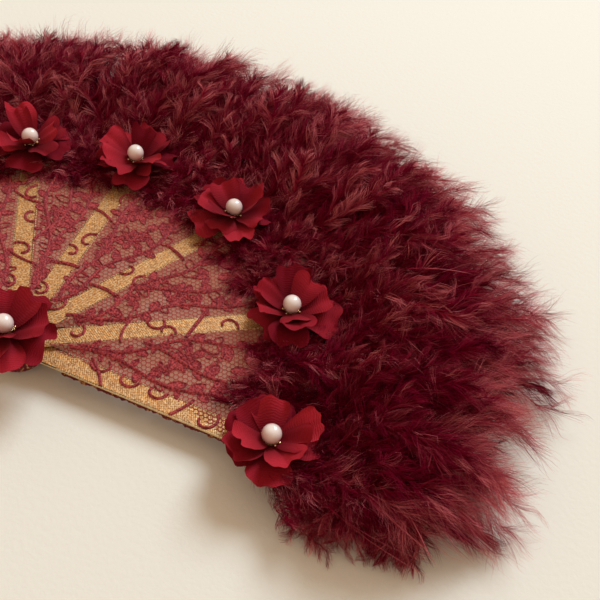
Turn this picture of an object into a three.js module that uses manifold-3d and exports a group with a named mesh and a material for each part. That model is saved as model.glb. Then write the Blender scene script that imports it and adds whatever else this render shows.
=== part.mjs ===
// A folding feather fan, open and lying on its back: gilt sticks on one rivet, a lace leaf over them,
// a plume of downy feathers on each stick's tip, and fabric flowers with pearls.
// Millimetres, +Z up. The rivet's axis is the Z axis, and z = 0 is the surface that the fan lies on.
// Stick 1 is the lowest and points along +X; each next stick lies on top of it, turned towards -X.

import * as THREE from 'three';
import { mergeVertices } from 'three/addons/utils/BufferGeometryUtils.js';
import Module from 'manifold-3d';

// Clearances
const flatGap = 0.1; // between flat faces that lie on each other
const softGap = 0.3; // between a soft piece and what carries it
const runningGap = 0.25; // round the rivet's shank

// Sticks, and how they fan out in degrees
const stickAngles = [0, 33, 65, 95, 121, 150.5, 180];
const stickWidth = 9;
const stickThickness = 1.2;
const stickTail = 19;
const stickReach = 121;
const stickCornerRadius = 3;
const collarInset = 0.1; // from the stick's edge to the raised collar round its hole

// Fabric strips glued under the sticks
const backingWidth = 8;
const backingThickness = 0.3;
const backingStart = 24;
const backingTipInset = 3;

// Lace leaf
const laceThickness = 0.3;
const laceStart = 26;
const laceTipInset = 1.5;
const laceFlatMargin = 0.5; // the lace lies flat this far past a stick's edge

// Rivet, its washer and cap, and the covered button under it
const shankRadius = 1.5;
const headRadius = 4;
const headThickness = 0.8;
const washerThickness = 0.8;
const capHeight = 2;
const capCrown = 0.8;
const buttonRadius = 11;
const buttonHeight = 7.6;
const buttonFlatRadius = 6;

// Flowers
const flowerTipInset = 5; // from a stick's tip to its flower's centre
const flowerRadius = 21;
const lowPetalCup = 5;
const topPetalRadius = 14.5;
const topPetalCup = 8;
const petalThickness = 0.8;
const pearlRadius = 4;
const pinRadius = 0.8;
const hubFlowerShift = 8.5; // from the rivet's axis, out over the fan's lower edge
const hubFlowerTurn = -70; // degrees from +X to the way it is shifted

// Plumes
const plumeLead = 14; // the down starts this far inside the flowers' ring
const plumeLength = 120; // from the stick's tip to the feather tips
const plumeLoft = 34;
const quillThickness = 2.5; // of the quills bound flat on the stick
const downEdge = 0.8; // thickness of the down where it starts on the lace
const plumeSwell = 12; // how far the down has risen over the sticks' tips, beside a flower
const featherRidge = 3;
const featherNotch = 9;
const tipLift = 4;
const droopLength = 34; // past the sticks' tips, until the down lies on the table
const nestMargin = 3; // round a flower, before the down rises
const nestSlope = 1.2;
const plumeSlit = 0.2; // degrees between a plume's side and the middle between two sticks
const endSpread = 11.5; // degrees that the outermost plumes spread past the guard sticks

// Worked out from the sizes above
const degree = Math.PI / 180;
const stickCount = stickAngles.length;
const stickPitch = backingThickness + stickThickness + laceThickness + 3 * flatGap;
const headLow = buttonHeight + flatGap;
const firstStickLow = headLow + headThickness + flatGap;
const holeRadius = shankRadius + runningGap;
const collarRadius = stickWidth / 2 - collarInset;
const laceEnd = stickReach - laceTipInset;
const flowerRing = stickReach - flowerTipInset;
const plumeStart = flowerRing - plumeLead;
const laceFlat = stickWidth / 2 + laceFlatMargin;
const clearRadius = stickReach + softGap;
const washerLow = stickLow(stickCount);
const capLow = washerLow + washerThickness + flatGap;
const hubPetalShare = (hubFlowerShift - headRadius) / flowerRadius;

// Shapes given as shares of the sizes above, chosen by eye
const plumeLengthShares = [0.74, 1, 0.95, 0.91, 0.89, 0.92, 0.74];
const plumeRingShares = [0.12, 0.3, 0.5, 0.7, 0.87, 1];
const plumeLoftShares = [0.56, 0.86, 1, 0.91, 0.62, 0.24];
const endTaperShare = 0.85; // of the length, lost at the free side of an outermost plume
const endStartShare = 0.9; // of the bound part, lost there
const endFallShare = 0.75; // of the loft, lost there
const tipLiftStartShare = 0.7; // of the free length, where the tips begin to lift
const petalMidShare = 0.45;
const petalCurvePower = 1.5;
const petalNotchShare = 0.28;
const featherTipsPerSide = 2;
const columnsPerTip = 3;

// The hub flower's petals rest on the cap's near edge, where they have begun to rise
const hubFlowerLow = capLow + capHeight + softGap - lowPetalCup * hubPetalShare ** petalCurvePower;

const gilt = { color: 0xd9ab5c, roughness: 0.35, metalness: 0.85 };
const rawMetal = { color: 0xb9b2a4, roughness: 0.4, metalness: 0.9 };
const laceRed = { color: 0x9a2a3c, roughness: 0.8, metalness: 0 };
const backingRed = { color: 0x4a0810, roughness: 0.8, metalness: 0 };
const featherRed = { color: 0x6a0f1e, roughness: 0.9, metalness: 0 };
const petalRed = { color: 0x9c1426, roughness: 0.7, metalness: 0 };
const pearlWhite = { color: 0xf1e9df, roughness: 0.2, metalness: 0 };

function stickLow(index) {
  return firstStickLow + index * stickPitch;
}

function laceTop(index) {
  return stickLow(index) + stickThickness + flatGap + laceThickness;
}

function plumeSeat(index) {
  return laceTop(index) + softGap;
}

function flowerSeat(index) {
  return plumeSeat(index) + quillThickness + softGap;
}

function polar(radius, angle, height) {
  return new THREE.Vector3(radius * Math.cos(angle), radius * Math.sin(angle), height);
}

function clampShare(value) {
  return THREE.MathUtils.clamp(value, 0, 1);
}

// A solid between two grids of points, rows going outward and columns anticlockwise.
// With wraps, the last column joins the first, which makes a ring.
function slab(top, bottom, wraps) {
  const rows = top.length;
  const columns = top[0].length;
  const cells = wraps ? columns : columns - 1;
  const positions = [];
  const quad = (a, b, c, d) => {
    for (const point of [a, b, c, a, c, d]) {
      positions.push(point.x, point.y, point.z);
    }
  };
  const wall = (row, column, nextRow, nextColumn) => {
    quad(bottom[row][column], bottom[nextRow][nextColumn], top[nextRow][nextColumn], top[row][column]);
  };
  for (let column = 0; column < cells; column += 1) {
    const next = (column + 1) % columns;
    for (let row = 0; row < rows - 1; row += 1) {
      quad(top[row][column], top[row + 1][column], top[row + 1][next], top[row][next]);
      quad(bottom[row][column], bottom[row][next], bottom[row + 1][next], bottom[row + 1][column]);
    }
    wall(rows - 1, column, rows - 1, next);
    wall(0, next, 0, column);
  }
  if (!wraps) {
    for (let row = 0; row < rows - 1; row += 1) {
      wall(row, 0, row + 1, 0);
      wall(row + 1, columns - 1, row, columns - 1);
    }
  }
  const geometry = new THREE.BufferGeometry();
  geometry.setAttribute('position', new THREE.Float32BufferAttribute(positions, 3));
  return geometry;
}

// A turned piece: its outline runs from the axis to the axis, or closes on itself, and starts low.
function turned(outline, sides) {
  const points = outline.map(([radius, height]) => new THREE.Vector2(radius, height));
  return new THREE.LatheGeometry(points, sides).rotateX(Math.PI / 2);
}

const wasm = await Module();
wasm.setup();

function toSolid(geometry) {
  const plain = geometry.clone();
  plain.deleteAttribute('normal');
  plain.deleteAttribute('uv');
  const merged = mergeVertices(plain);
  return new wasm.Manifold(new wasm.Mesh({
    numProp: 3,
    vertProperties: merged.attributes.position.array,
    triVerts: Uint32Array.from(merged.index.array),
  }));
}

function toGeometry(solid) {
  const mesh = solid.getMesh();
  const geometry = new THREE.BufferGeometry();
  geometry.setAttribute('position', new THREE.BufferAttribute(mesh.vertProperties, 3));
  geometry.setIndex(new THREE.BufferAttribute(mesh.triVerts, 1));
  return geometry;
}

const fan = new THREE.Group();

function addPiece(name, geometry, look) {
  const mesh = new THREE.Mesh(geometry, new THREE.MeshStandardMaterial(look));
  mesh.name = name;
  fan.add(mesh);
  return mesh;
}

// A rounded bar along +X, from one end to the other
function barOutline(low, high, width, corner) {
  const side = width / 2;
  const outline = new THREE.Shape();
  outline.moveTo(low + corner, -side);
  outline.lineTo(high - corner, -side);
  outline.absarc(high - corner, -side + corner, corner, -Math.PI / 2, 0);
  outline.absarc(high - corner, side - corner, corner, 0, Math.PI / 2);
  outline.lineTo(low + corner, side);
  outline.absarc(low + corner, side - corner, corner, Math.PI / 2, Math.PI);
  outline.absarc(low + corner, -side + corner, corner, Math.PI, Math.PI + Math.PI / 2);
  return outline;
}

function withHole(outline) {
  const hole = new THREE.Path();
  hole.absarc(0, 0, holeRadius, 0, 2 * Math.PI, true);
  outline.holes.push(hole);
  return outline;
}

// A flat gilt stick with a raised collar round its hole, so that the pack is solid at the rivet
function stickGeometry() {
  const blade = withHole(barOutline(-stickTail, stickReach, stickWidth, stickCornerRadius));
  const bladeSolid = new THREE.ExtrudeGeometry(blade, {
    depth: stickThickness,
    bevelEnabled: false,
    curveSegments: 4,
  });
  const ring = new THREE.Shape();
  ring.absarc(0, 0, collarRadius, 0, 2 * Math.PI);
  const collarSolid = new THREE.ExtrudeGeometry(withHole(ring), {
    depth: stickPitch - flatGap,
    bevelEnabled: false,
    curveSegments: 4,
  });
  return toGeometry(toSolid(bladeSolid).add(toSolid(collarSolid)));
}

function backingGeometry() {
  const strip = barOutline(backingStart, stickReach - backingTipInset, backingWidth, backingThickness);
  return new THREE.ExtrudeGeometry(strip, {
    depth: backingThickness,
    bevelEnabled: false,
    curveSegments: 1,
  });
}

function buildSticks() {
  stickAngles.forEach((angle, index) => {
    const stick = addPiece(`stick_${index + 1}`, stickGeometry(), gilt);
    stick.position.z = stickLow(index);
    stick.rotation.z = angle * degree;
    const backing = addPiece(`backing_${index + 1}`, backingGeometry(), backingRed);
    backing.position.z = stickLow(index) - flatGap - backingThickness;
    backing.rotation.z = angle * degree;
  });
}

// One panel of the leaf: flat on the lower stick, rising across the gap, flat on the upper stick.
// The leaf covers both guard sticks to their outer edges, and its panels meet on the other sticks.
function lacePanelGeometry(index) {
  const midColumns = 5;
  const lower = stickAngles[index] * degree;
  const upper = stickAngles[index + 1] * degree;
  const guardEdge = stickWidth / 2;
  const startOffset = index === 0 ? -guardEdge : softGap / 2;
  const endOffset = index === stickCount - 2 ? guardEdge : -softGap / 2;
  const surface = (drop) => [laceStart, laceEnd].map((radius) => {
    const onStick = (angle, offset) => angle + Math.asin(offset / radius);
    const from = onStick(lower, laceFlat);
    const to = onStick(upper, -laceFlat);
    const row = [polar(radius, onStick(lower, startOffset), laceTop(index) - drop)];
    for (let column = 0; column <= midColumns; column += 1) {
      const share = column / midColumns;
      const height = laceTop(index) + stickPitch * share - drop;
      row.push(polar(radius, from + (to - from) * share, height));
    }
    row.push(polar(radius, onStick(upper, endOffset), laceTop(index + 1) - drop));
    return row;
  });
  return slab(surface(0), surface(laceThickness), false);
}

function buildLace() {
  for (let index = 0; index < stickCount - 1; index += 1) {
    addPiece(`lace_${index + 1}`, lacePanelGeometry(index), laceRed);
  }
}

function buildHub() {
  const shoulder = (buttonRadius - buttonFlatRadius) / 2;
  addPiece('back_button', turned([
    [0, 0],
    [buttonFlatRadius, 0],
    [buttonRadius - shoulder / 2, buttonHeight / 4],
    [buttonRadius, buttonHeight / 2],
    [buttonRadius - shoulder / 2, buttonHeight - shoulder / 2],
    [buttonFlatRadius, buttonHeight],
    [0, buttonHeight],
  ], 24), backingRed);

  const capSocket = capHeight - capCrown;
  addPiece('pivot_rivet', turned([
    [0, headLow],
    [headRadius, headLow],
    [headRadius, headLow + headThickness],
    [shankRadius, headLow + headThickness],
    [shankRadius, capLow + capSocket - flatGap],
    [0, capLow + capSocket - flatGap],
  ], 24), rawMetal);

  addPiece('front_washer', turned([
    [holeRadius, washerLow],
    [headRadius, washerLow],
    [headRadius, washerLow + washerThickness],
    [holeRadius, washerLow + washerThickness],
    [holeRadius, washerLow],
  ], 24), rawMetal);

  addPiece('rivet_cap', turned([
    [0, capLow + capSocket],
    [holeRadius, capLow + capSocket],
    [holeRadius, capLow],
    [headRadius, capLow],
    [headRadius, capLow + capHeight],
    [0, capLow + capHeight],
  ], 24), rawMetal);
}

// A layer of rounded petals in one ring, cupped upward, with a hole for the pearl's pin
function petalLayer(radius, cup, petals) {
  const columnsPerPetal = 3;
  const columns = petals * columnsPerPetal;
  const surface = (lift) => [0, petalMidShare, 1].map((share) => {
    const row = [];
    for (let column = 0; column < columns; column += 1) {
      const notch = Math.cos(Math.PI * column / columnsPerPetal) ** 2;
      const reach = radius * (1 - petalNotchShare * notch);
      const distance = Math.max(reach * share, pinRadius + softGap);
      const height = lift + cup * share ** petalCurvePower;
      row.push(polar(distance, 2 * Math.PI * column / columns, height));
    }
    return row;
  });
  return slab(surface(petalThickness), surface(0), true);
}

// A pearl on the pin that holds the petals down
function pearlGeometry(pinLow, pearlLow) {
  const arcs = 6;
  const start = Math.asin(pinRadius / pearlRadius);
  const centre = pearlLow + pearlRadius;
  const outline = [[0, pinLow], [pinRadius, pinLow]];
  for (let arc = 0; arc < arcs; arc += 1) {
    const angle = start + (Math.PI - start) * arc / arcs;
    outline.push([pearlRadius * Math.sin(angle), centre - pearlRadius * Math.cos(angle)]);
  }
  outline.push([0, centre + pearlRadius]);
  return turned(outline, 10);
}

function buildFlower(label, radius, angle, low) {
  const topLow = low + petalThickness + softGap;
  const pearlLow = topLow + petalThickness + softGap;
  const centre = polar(radius, angle, 0);
  const pieces = [
    [`petals_low_${label}`, petalLayer(flowerRadius, lowPetalCup, 6), petalRed, low],
    [`petals_top_${label}`, petalLayer(topPetalRadius, topPetalCup, 5), petalRed, topLow],
    [`pearl_${label}`, pearlGeometry(0, pearlLow - low), pearlWhite, low],
  ];
  for (const [name, geometry, look, height] of pieces) {
    const piece = addPiece(name, geometry, look);
    piece.position.set(centre.x, centre.y, height);
    piece.rotation.z = angle;
  }
}

function buildFlowers() {
  stickAngles.forEach((angle, index) => {
    buildFlower(index + 1, flowerRing, angle * degree, flowerSeat(index));
  });
  buildFlower('hub', hubFlowerShift, hubFlowerTurn * degree, hubFlowerLow);
}

// How far the leaf has climbed at an angle past a stick, as a share of one level
function laceClimbShare(radius, angle, gap) {
  const edge = Math.asin(laceFlat / radius);
  const share = clampShare((Math.abs(angle) - edge) / (gap - 2 * edge));
  return Math.sign(angle) * share;
}

// One plume: bound flat on its stick, puffed up behind its flower, drooping to the table at the tips.
// Its length runs over into its neighbours' at the sides, so that the fan's edge is one curve.
function plumeGeometry(index) {
  const rightGap = index > 0 ? (stickAngles[index] - stickAngles[index - 1]) * degree : 0;
  const leftGap = index < stickCount - 1 ? (stickAngles[index + 1] - stickAngles[index]) * degree : 0;
  const halfSpread = (gap) => (gap > 0 ? gap / 2 - plumeSlit * degree : endSpread * degree);
  const sideCells = featherTipsPerSide * columnsPerTip;
  const lengthAt = (share) => {
    const own = plumeLengthShares[index];
    const neighbour = plumeLengthShares[index + Math.sign(share)] ?? own;
    return plumeLength * (own + (neighbour - own) * Math.abs(share) / 2);
  };
  const boundRadii = [plumeStart, (plumeStart + clearRadius) / 2, clearRadius];
  const seatTop = plumeSeat(index) + quillThickness;

  const columns = [];
  for (let cell = -sideCells; cell <= sideCells; cell += 1) {
    const share = cell / sideCells;
    const gap = share < 0 ? rightGap : leftGap;
    const taper = gap > 0 ? 0 : endTaperShare * share * share;
    const bulge = Math.abs(Math.sin(Math.PI * cell / columnsPerTip));
    const outer = stickReach + lengthAt(share) * (1 - taper) - featherNotch * (1 - bulge);
    columns.push({ angle: share * halfSpread(gap), gap, bulge, outer });
  }

  const seatAt = (radius, column) => {
    const climb = column.gap > 0 ? laceClimbShare(radius, column.angle, column.gap) : 0;
    return plumeSeat(index) + stickPitch * climb;
  };
  const nestRise = (radius, column) => {
    const across = radius * Math.sin(column.angle);
    const along = radius * Math.cos(column.angle) - flowerRing;
    return Math.max(0, Math.hypot(along, across) - flowerRadius - nestMargin) * nestSlope;
  };
  const boundPoints = (column) => boundRadii.map((boundRadius, ring) => {
    const inset = column.gap > 0 ? 0 : endStartShare * column.angle / (endSpread * degree);
    const radius = THREE.MathUtils.lerp(boundRadius, clearRadius, Math.abs(inset));
    const low = seatAt(radius, column);
    const swell = Math.min(nestRise(radius, column), plumeSwell * ring / (boundRadii.length - 1));
    const thickness = ring === 0 ? downEdge : quillThickness + swell;
    return { radius, low, high: low + thickness };
  });
  const freePoints = (column) => plumeRingShares.map((share, ring) => {
    const radius = clearRadius + (column.outer - clearRadius) * share;
    const droop = clampShare((radius - clearRadius) / droopLength);
    const lift = tipLift * clampShare((share - tipLiftStartShare) / (1 - tipLiftStartShare));
    const low = seatAt(radius, column) * (1 - droop) + lift;
    const fall = column.gap > 0 ? 0 : endFallShare * (column.angle / (endSpread * degree)) ** 2;
    const full = plumeLoft * plumeLoftShares[ring] * (1 - fall) + featherRidge * column.bulge * share;
    const high = Math.min(full, seatTop + nestRise(radius, column));
    return { radius, low, high: Math.max(high, low + downEdge) };
  });

  const rows = boundRadii.length + plumeRingShares.length;
  const top = Array.from({ length: rows }, () => []);
  const bottom = Array.from({ length: rows }, () => []);
  for (const column of columns) {
    [...boundPoints(column), ...freePoints(column)].forEach(({ radius, low, high }, row) => {
      top[row].push(polar(radius, column.angle, high));
      bottom[row].push(polar(radius, column.angle, low));
    });
  }
  return slab(top, bottom, false);
}

function buildPlumes() {
  stickAngles.forEach((angle, index) => {
    const plume = addPiece(`plume_${index + 1}`, plumeGeometry(index), featherRed);
    plume.rotation.z = angle * degree;
  });
}

buildHub();
buildSticks();
buildLace();
buildPlumes();
buildFlowers();

export default fan;
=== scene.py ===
# %% [markdown]
# # A folding feather fan
# The fan lies open on its back. Seven gilt sticks turn on one rivet, a lace leaf is glued over them,
# and a bundle of dyed marabou feathers is tied to the tip of each stick. A fabric flower with a pearl
# hides each binding, and one more sits over the rivet. The solids that carry sizes and joints are
# loaded first. Everything after that dresses them, in the same frame and in metres.

import math

import bmesh
import bpy
import numpy as np
from mathutils import Matrix, Vector
from mathutils.bvhtree import BVHTree


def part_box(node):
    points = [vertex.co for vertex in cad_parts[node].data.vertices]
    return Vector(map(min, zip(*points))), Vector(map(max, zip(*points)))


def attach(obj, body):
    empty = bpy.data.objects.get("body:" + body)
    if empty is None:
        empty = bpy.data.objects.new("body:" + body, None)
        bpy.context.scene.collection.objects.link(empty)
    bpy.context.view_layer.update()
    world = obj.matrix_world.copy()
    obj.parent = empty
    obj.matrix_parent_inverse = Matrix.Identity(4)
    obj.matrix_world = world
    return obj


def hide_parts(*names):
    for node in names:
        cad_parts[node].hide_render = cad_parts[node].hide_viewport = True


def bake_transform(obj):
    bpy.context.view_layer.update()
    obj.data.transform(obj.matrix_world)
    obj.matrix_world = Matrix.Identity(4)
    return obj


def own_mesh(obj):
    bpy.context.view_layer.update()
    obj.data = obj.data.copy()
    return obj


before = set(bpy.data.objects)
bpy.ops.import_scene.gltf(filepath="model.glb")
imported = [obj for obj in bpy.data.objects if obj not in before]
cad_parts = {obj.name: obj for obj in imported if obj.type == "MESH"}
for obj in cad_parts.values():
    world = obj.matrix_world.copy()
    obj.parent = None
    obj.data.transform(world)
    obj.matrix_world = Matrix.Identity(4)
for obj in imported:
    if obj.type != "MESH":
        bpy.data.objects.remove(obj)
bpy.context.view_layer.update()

# %% [markdown]
# ## Sizes that every piece shares
# The sticks fan out at measured angles and each lies one level above the last, so a few numbers place
# everything. They are in millimetres, as a fan maker would write them, and turn into metres only when
# a mesh is made.

# %% Shared sizes
mm = 0.001
stick_angles = [0, 33, 65, 95, 121, 150.5, 180]
stick_count = len(stick_angles)
stick_width = 9
stick_reach = 121
stick_thickness = 1.2
first_stick_low = 8.6
stick_pitch = 2.1
lace_above_stick = 1.6
flower_ring = 116
flower_radius = 21
flower_above_stick = 4.7
hub_flower_shift = 8.5
hub_flower_turn = -70


def stick_low(index):
    return first_stick_low + index * stick_pitch


def flower_seat(index):
    return stick_low(index) + flower_above_stick


print("levels of the sticks:", [round(stick_low(i), 1) for i in range(stick_count)], "mm")

# %% [markdown]
# ## Camera
# The photograph was taken with a normal lens from the front right and above, tilted a little. Fitting
# the pearls and the sticks' centre lines gave the position and three turns.

# %% Camera
camera_place = Vector((172.2, -171.2, 296.5)) * mm
camera_yaw = math.radians(16.99)
camera_pitch = math.radians(47.85)
camera_roll = math.radians(7.85)
camera_data = bpy.data.cameras.new("camera")
camera_data.sensor_width = 36
camera_data.lens = 51
camera_data.clip_start = 0.01
camera = bpy.data.objects.new("camera", camera_data)
camera.matrix_world = (
    Matrix.Translation(camera_place)
    @ Matrix.Rotation(camera_yaw, 4, "Z")
    @ Matrix.Rotation(math.pi / 2 - camera_pitch, 4, "X")
    @ Matrix.Rotation(camera_roll, 4, "Z")
)
bpy.context.scene.collection.objects.link(camera)
bpy.context.scene.camera = camera
bpy.context.scene.view_settings.view_transform = "Standard"
print("camera", round(camera_place.length, 3), "m from the rivet")

# %% [markdown]
# ## Light
# A window behind the fan and to its right throws soft shadows towards the viewer and the left, and a
# warm room fills them. A large area lamp stands for the window, and a plain world for the room. The
# lamp is a little cool and the room a little warm, so their sum is nearly white. Both are kept at the
# level where a colour renders about as it is written.

# %% Light
world = bpy.data.worlds.new("pale_room")
world.use_nodes = True
room = world.node_tree.nodes["Background"]
room.inputs["Color"].default_value = (1.0, 0.73, 0.52, 1)
room.inputs["Strength"].default_value = 0.60
bpy.context.scene.world = world


def add_window(name, place, target, size, power, colour):
    data = bpy.data.lights.new(name, "AREA")
    data.shape = "DISK"
    data.size = size
    data.energy = power
    data.color = colour
    lamp = bpy.data.objects.new(name, data)
    lamp.location = place
    lamp.rotation_euler = (Vector(target) - Vector(place)).to_track_quat("-Z", "Y").to_euler()
    bpy.context.scene.collection.objects.link(lamp)
    return lamp


window = add_window("window", (0.6, 2.3, 2.35), (0.1, 0.1, 0), 1.7, 84, (0.82, 0.93, 1.0))
print("window", round((window.location - Vector((0.1, 0.1, 0))).length, 2), "m from the fan")

# %% [markdown]
# ## Node helpers
# Most finishes need the same few steps: make a material, place a node, join two sockets, read a value
# stored on the mesh, stretch a range of values. Short helpers keep each finish readable.

# %% Node helpers
def new_material(name, **sockets):
    material = bpy.data.materials.new(name)
    material.use_nodes = True
    shader = material.node_tree.nodes["Principled BSDF"]
    for label, value in sockets.items():
        shader.inputs[label.replace("_", " ")].default_value = value
    return material, material.node_tree, shader


def add_node(tree, kind, **settings):
    node = tree.nodes.new("ShaderNode" + kind)
    for label, value in settings.items():
        if label in node.inputs:
            node.inputs[label].default_value = value
        else:
            setattr(node, label, value)
    return node


def join(tree, source, target):
    tree.links.new(source, target)


def blend_colours(tree, share, first, second):
    node = add_node(tree, "Mix", data_type="RGBA")
    for slot, value in ((0, share), (6, first), (7, second)):
        if isinstance(value, bpy.types.NodeSocket):
            join(tree, value, node.inputs[slot])
        else:
            node.inputs[slot].default_value = value
    return node.outputs[2]


def add_bump(tree, shader, height, strength, distance):
    node = add_node(tree, "Bump", Strength=strength, Distance=distance)
    join(tree, height, node.inputs["Height"])
    join(tree, node.outputs["Normal"], shader.inputs["Normal"])


def amount_of(tree, attribute):
    return add_node(tree, "Attribute", attribute_name=attribute).outputs["Fac"]


def flat_place(tree, x, y):
    place = add_node(tree, "CombineXYZ")
    join(tree, x, place.inputs["X"])
    join(tree, y, place.inputs["Y"])
    return place.outputs["Vector"]


def remap(tree, source, low, high, new_low=0.0, new_high=1.0):
    node = add_node(tree, "MapRange")
    for label, value in (("From Min", low), ("From Max", high), ("To Min", new_low), ("To Max", new_high)):
        node.inputs[label].default_value = value
    join(tree, source, node.inputs["Value"])
    return node.outputs["Result"]


# %% [markdown]
# ## Grain
# Plaster, lace thread, brocade, chiffon, nacre and metal all vary a little from place to place. One node
# group gives that variation as a noise from 0 to 1, and each finish sets its size and fineness. The
# noise follows the object in metres, or a place that the finish hands in, such as the way along a stick.

# %% Grain group
grain_group = bpy.data.node_groups.new("grain", "ShaderNodeTree")
grain_sockets = {"Place": "Vector", "Scale": "Float", "Detail": "Float", "Roughness": "Float"}
for label, kind in grain_sockets.items():
    grain_group.interface.new_socket(label, in_out="INPUT", socket_type="NodeSocket" + kind)
grain_group.interface.new_socket("Amount", in_out="OUTPUT", socket_type="NodeSocketFloat")
group_start = grain_group.nodes.new("NodeGroupInput")
group_end = grain_group.nodes.new("NodeGroupOutput")
cloud = add_node(grain_group, "TexNoise")
for label in grain_sockets:
    join(grain_group, group_start.outputs[label], cloud.inputs["Vector" if label == "Place" else label])
join(grain_group, cloud.outputs["Fac"], group_end.inputs["Amount"])


def grain(tree, scale, detail, roughness=0.5, place=None):
    node = add_node(tree, "Group", node_tree=grain_group)
    for label, value in (("Scale", scale), ("Detail", detail), ("Roughness", roughness)):
        node.inputs[label].default_value = value
    join(tree, place if place is not None else add_node(tree, "TexCoord").outputs["Object"], node.inputs["Place"])
    return node.outputs["Amount"]


print("grain group with", len(grain_sockets), "inputs")

# %% [markdown]
# ## The table
# The fan lies on a warm cream surface with a very slight plaster texture. Its colour carries the
# paleness, so no lamp has to be turned up for it.

# %% The table
table_material, tree, shader = new_material("cream_plaster", Roughness=0.85, Base_Color=(0.85, 0.86, 0.80, 1))
add_bump(tree, shader, grain(tree, 420, 4), 0.25, 0.0006)

table_mesh = bpy.data.meshes.new("table")
reach = 4.0
table_mesh.from_pydata([(-reach, -reach, 0), (reach, -reach, 0), (reach, reach, 0), (-reach, reach, 0)], [], [(0, 1, 2, 3)])
table = bpy.data.objects.new("table", table_mesh)
table.data.materials.append(table_material)
bpy.context.scene.collection.objects.link(table)
print("table", 2 * reach, "m wide")

# %% [markdown]
# ## Making meshes from arrays
# A fan has tens of thousands of feather barbs and lace threads. Writing them point by point would be
# slow, so shapes are worked out as whole arrays and handed to Blender at once. Points are in
# millimetres here. The atlas gives each face its place in a baked picture. A finished piece is fixed to
# a body, may take a solid's place, and carries its finish.

# %% Mesh from arrays
def new_piece(name, points, face_sets, material, atlas=None, values=None):
    mesh = bpy.data.meshes.new(name)
    mesh.vertices.add(len(points))
    mesh.vertices.foreach_set("co", (np.asarray(points) * mm).astype(np.float32).ravel())
    corners = np.concatenate([faces.ravel() for faces in face_sets])
    sizes = np.concatenate([np.full(len(faces), faces.shape[1]) for faces in face_sets])
    mesh.loops.add(len(corners))
    mesh.loops.foreach_set("vertex_index", corners.astype(np.int32))
    mesh.polygons.add(len(sizes))
    mesh.polygons.foreach_set("loop_start", (np.cumsum(sizes) - sizes).astype(np.int32))
    mesh.polygons.foreach_set("use_smooth", np.ones(len(sizes), bool))
    if atlas is not None:
        layer = mesh.uv_layers.new(name="OFBake")
        layer.uv.foreach_set("vector", atlas[corners].astype(np.float32).ravel())
    for label, amounts in (values or {}).items():
        attribute = mesh.attributes.new(label, "FLOAT", "POINT")
        attribute.data.foreach_set("value", amounts.astype(np.float32))
    mesh.update(calc_edges=True)
    piece = bpy.data.objects.new(name, mesh)
    mesh.materials.append(material)
    bpy.context.scene.collection.objects.link(piece)
    return piece


def fix_piece(piece, body, node=None):
    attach(piece, body)
    if node:
        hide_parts(node)


def grid_faces(rows, columns, count=1):
    row, column = np.meshgrid(np.arange(rows - 1), np.arange(columns - 1), indexing="ij")
    first = (row * columns + column).ravel()
    cell = np.stack([first, first + 1, first + columns + 1, first + columns], axis=1)
    return (cell[None] + (np.arange(count) * rows * columns)[:, None, None]).reshape(-1, 4)


def turn_flat(points, degrees):
    angle = math.radians(degrees)
    turned = np.array(points, float)
    turned[..., 0] = points[..., 0] * math.cos(angle) - points[..., 1] * math.sin(angle)
    turned[..., 1] = points[..., 0] * math.sin(angle) + points[..., 1] * math.cos(angle)
    return turned


def unit(vectors):
    return vectors / np.maximum(np.linalg.norm(vectors, axis=-1, keepdims=True), 1e-9)


# %% [markdown]
# ## How high the leaf lies
# The lace leaf lies flat on each stick and climbs one level in each gap. The down must stay above it, so
# its height is worked out before any feather is laid. Angles run on past the last stick, where a plain
# arctangent would jump back to below the first.

# %% The leaf's level at a place
lace_inner = 14
lace_outer = 119
lace_flat = 5


def fan_angle(x, y):
    angle = np.degrees(np.arctan2(y, x))
    return np.where(angle < -90, angle + 360, angle)


def leaf_level(x, y, lift=0.0):
    radius = np.hypot(x, y)
    angle = np.radians(fan_angle(x, y))
    edge = np.arcsin(np.minimum(lace_flat / radius, 0.95))
    level = np.zeros_like(radius)
    for lower, upper in zip(stick_angles, stick_angles[1:]):
        end = math.radians(upper) - edge
        start = np.minimum(math.radians(lower) + edge, end - 0.03)
        level += np.clip((angle - start) / (end - start), 0, 1)
    return first_stick_low + lace_above_stick - 0.25 + stick_pitch * level + lift


print("leaf rises from", round(float(leaf_level(100.0, 0.0)), 2), "to", round(float(leaf_level(-100.0, 0.1)), 2), "mm")

# %% [markdown]
# ## Marabou feathers: the shape of a plume
# Marabou is soft down. A thin shaft carries hundreds of fine barbs that spread forwards like a fishbone,
# and neighbouring barbs cling together in pointed tufts. Hair particles could do this, but they don't
# survive an export, so each barb is a tapered ribbon of real mesh. The solid plume says how high the
# bundle stands at each place. It is sampled with rays from above and below, and each shaft is then
# laid at its own depth between the two surfaces.

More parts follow.
